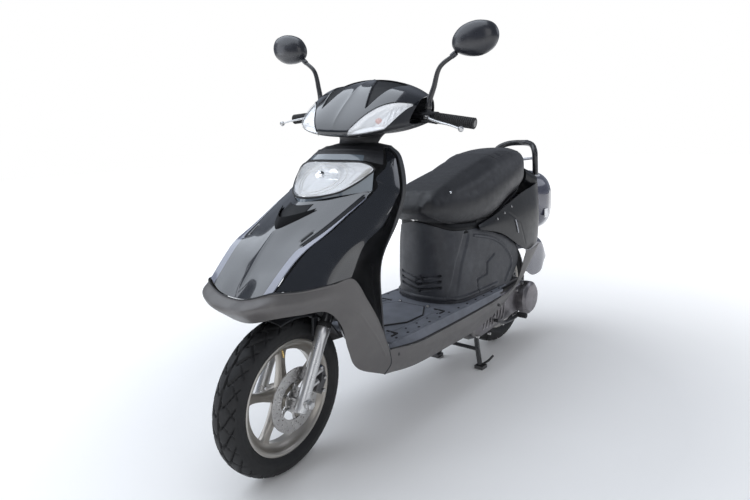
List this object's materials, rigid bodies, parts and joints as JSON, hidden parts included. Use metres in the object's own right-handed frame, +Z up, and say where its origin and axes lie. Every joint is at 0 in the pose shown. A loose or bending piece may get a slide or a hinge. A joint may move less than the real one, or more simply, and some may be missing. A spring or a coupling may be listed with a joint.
{
  "type": "moped scooter",
  "caption": "Step-through scooter with a lidded seat, flat foot deck, nose fairing with headlight, telescopic fork, cast wheels and a swinging engine unit, standing on its centre stand.",
  "frame": {"origin": "on the ground, under the middle of the overall length and width", "axes": "+X to the rider's left, -Y forward, +Z up"},
  "size_m": [0.8107, 1.8541, 1.2867],
  "materials": {
    "gloss_black": "clear-coated gloss black",
    "satin_grey": "satin warm grey",
    "matt_black": "fine-textured matt black",
    "moulded_grey": "grained dark grey moulding",
    "vinyl": "matt grained vinyl",
    "rubber": "matt",
    "tyre": "matt tread rubber",
    "rim_alloy": "champagne painted cast alloy",
    "bare_metal": "satin machined",
    "fork_silver": "satin silver",
    "cast_alloy": "sand cast",
    "black_steel": "semi-gloss black",
    "chrome": "mirror bright",
    "clear_lens": "clear polycarbonate",
    "tail_lens": "dark red moulded lens",
    "mirror": "silvered"
  },
  "bodies": {
    "chassis": {"main_frame": "black_steel", "front_hood": "gloss_black", "front_side_panel_left": "gloss_black", "front_side_panel_right": "gloss_black", "headlight_lens": "clear_lens", "headlight_reflector": "chrome", "lower_cowl": "satin_grey", "side_skirt_left": "satin_grey", "side_skirt_right": "satin_grey", "leg_shield": "matt_black", "shield_brow": "gloss_black", "floorboard": "rubber", "under_seat_cover": "moulded_grey", "side_cover_left": "gloss_black", "side_cover_right": "gloss_black", "tail_cover": "gloss_black", "tail_light": "tail_lens", "rear_mudguard": "matt_black", "grab_rail": "black_steel", "luggage_box": "matt_black", "fuel_tank": "black_steel"},
    "seat": {"seat_cushion": "vinyl", "seat_base": "matt_black"},
    "steering": {"fork_crown": "black_steel", "handlebar": "black_steel", "handlebar_cover": "gloss_black", "instrument_cover": "matt_black", "instrument_dial": "clear_lens", "indicator_left": "clear_lens", "indicator_right": "clear_lens", "grip_left": "rubber", "lever_perch_left": "matt_black", "lever_perch_right": "matt_black", "brake_hose": "rubber"},
    "throttle": {"grip_right": "rubber"},
    "lever_left": {"brake_lever_left": "bare_metal"},
    "lever_right": {"brake_lever_right": "bare_metal"},
    "horn": {"horn_button": "matt_black"},
    "starter": {"starter_button": "matt_black"},
    "mirror_arm_left": {"mirror_stem_left": "black_steel"},
    "mirror_arm_right": {"mirror_stem_right": "black_steel"},
    "mirror_left": {"mirror_head_left": "matt_black", "mirror_glass_left": "mirror"},
    "mirror_right": {"mirror_head_right": "matt_black", "mirror_glass_right": "mirror"},
    "fork": {"fork_sliders": "fork_silver", "brake_caliper": "cast_alloy", "front_mudguard": "matt_black"},
    "front_wheel": {"front_rim": "rim_alloy", "front_tyre": "tyre", "brake_disc": "bare_metal"},
    "engine": {"engine_unit": "cast_alloy", "transmission_cover": "bare_metal", "exhaust": "black_steel"},
    "rear_wheel": {"rear_rim": "rim_alloy", "rear_tyre": "tyre"},
    "kick": {"kick_starter": "black_steel"},
    "stand": {"centre_stand": "black_steel"},
    "shock_upper": {"shock_body": "black_steel"},
    "shock_lower": {"shock_rod": "bare_metal"}
  },
  "joints": [
    {"name": "steering_turn", "type": "hinge", "parent": "chassis", "child": "steering", "pos_m": [0, -0.44381, 0.65], "axis": [0, 0.454, 0.891], "range_deg": [-38.56, 25.44]},
    {"name": "fork_travel", "type": "slide", "parent": "steering", "child": "fork", "axis": [0, 0.454, 0.891], "range_m": [0, 0.06], "stiffness_N_per_m": 8000, "springref_m": -0.06, "deforming": ["brake_hose"]},
    {"name": "front_wheel_spin", "type": "hinge", "parent": "fork", "child": "front_wheel", "pos_m": [0.00397, -0.6948, 0.2334], "axis": [0.9935, 0.1018, -0.0519], "continuous": true},
    {"name": "throttle_twist", "type": "hinge", "parent": "steering", "child": "throttle", "pos_m": [-0.20867, -0.24427, 1.01639], "axis": [-0.9951, -0.0781, -0.0604], "range_deg": [0, 75], "stiffness_Nm_per_rad": 0.4, "springref_deg": -11.46},
    {"name": "brake_lever_left_squeeze", "type": "hinge", "parent": "steering", "child": "lever_left", "pos_m": [0.20409, -0.23616, 0.99493], "axis": [0.0519, 0.0026, 0.9987], "range_deg": [0, 14], "stiffness_Nm_per_rad": 6, "springref_deg": -5.73},
    {"name": "brake_lever_right_squeeze", "type": "hinge", "parent": "steering", "child": "lever_right", "pos_m": [-0.20521, -0.2781, 1.0163], "axis": [-0.0519, -0.0026, -0.9987], "range_deg": [0, 14], "stiffness_Nm_per_rad": 6, "springref_deg": -5.73},
    {"name": "horn_button_press", "type": "slide", "parent": "steering", "child": "horn", "axis": [0.1018, -0.9948, -0.0026], "range_m": [0, 0.0025], "stiffness_N_per_m": 400, "springref_m": -0.001},
    {"name": "starter_button_press", "type": "slide", "parent": "steering", "child": "starter", "axis": [0.1018, -0.9948, -0.0026], "range_m": [0, 0.0025], "stiffness_N_per_m": 400, "springref_m": -0.001},
    {"name": "mirror_left_swivel", "type": "hinge", "parent": "steering", "child": "mirror_arm_left", "pos_m": [0.20434, -0.22615, 1.01932], "axis": [0.0519, 0.0026, 0.9987], "range_deg": [-50, 50]},
    {"name": "mirror_right_swivel", "type": "hinge", "parent": "steering", "child": "mirror_arm_right", "pos_m": [-0.20497, -0.26809, 1.04069], "axis": [-0.0519, -0.0026, -0.9987], "range_deg": [-50, 50]},
    {"name": "mirror_left_tilt", "type": "hinge", "parent": "mirror_arm_left", "child": "mirror_left", "pos_m": [0.29077, -0.20755, 1.16899], "axis": [0.9935, 0.1018, -0.0519], "range_deg": [-15, 15]},
    {"name": "mirror_right_tilt", "type": "hinge", "parent": "mirror_arm_right", "child": "mirror_right", "pos_m": [-0.27748, -0.26577, 1.19866], "axis": [0.9935, 0.1018, -0.0519], "range_deg": [-15, 15]},
    {"name": "seat_lift", "type": "hinge", "parent": "chassis", "child": "seat", "pos_m": [0, -0.045, 0.64], "axis": [1, 0, 0], "range_deg": [0, 60]},
    {"name": "rear_swing", "type": "hinge", "parent": "chassis", "child": "engine", "pos_m": [0, 0.085, 0.195], "axis": [1, 0, 0], "range_deg": [0, 6], "stiffness_Nm_per_rad": 3700, "springref_deg": -3.44},
    {"name": "rear_wheel_spin", "type": "hinge", "parent": "engine", "child": "rear_wheel", "pos_m": [0, 0.555, 0.2455], "axis": [1, 0, 0], "continuous": true},
    {"name": "kick_starter_push", "type": "hinge", "parent": "engine", "child": "kick", "pos_m": [0, 0.285, 0.205], "axis": [-1, 0, 0], "range_deg": [0, 45], "stiffness_Nm_per_rad": 8, "springref_deg": -11.46},
    {"name": "centre_stand_fold", "type": "hinge", "parent": "engine", "child": "stand", "pos_m": [0, 0.277, 0.128], "axis": [1, 0, 0], "range_deg": [0, 72]},
    {"name": "shock_top_pivot", "type": "hinge", "parent": "chassis", "child": "shock_upper", "pos_m": [0.084, 0.511, 0.56], "axis": [1, 0, 0], "range_deg": [-1, 0.5]},
    {"name": "shock_stroke", "type": "slide", "parent": "shock_upper", "child": "shock_lower", "axis": [0, -0.2309, 0.973], "range_m": [0, 0.064]}
  ],
  "couplings": [
    {"joint": "shock_top_pivot", "follows": "rear_swing", "ratio": -0.05868},
    {"joint": "shock_stroke", "follows": "rear_swing", "m_per_rad": 0.49876}
  ]
}
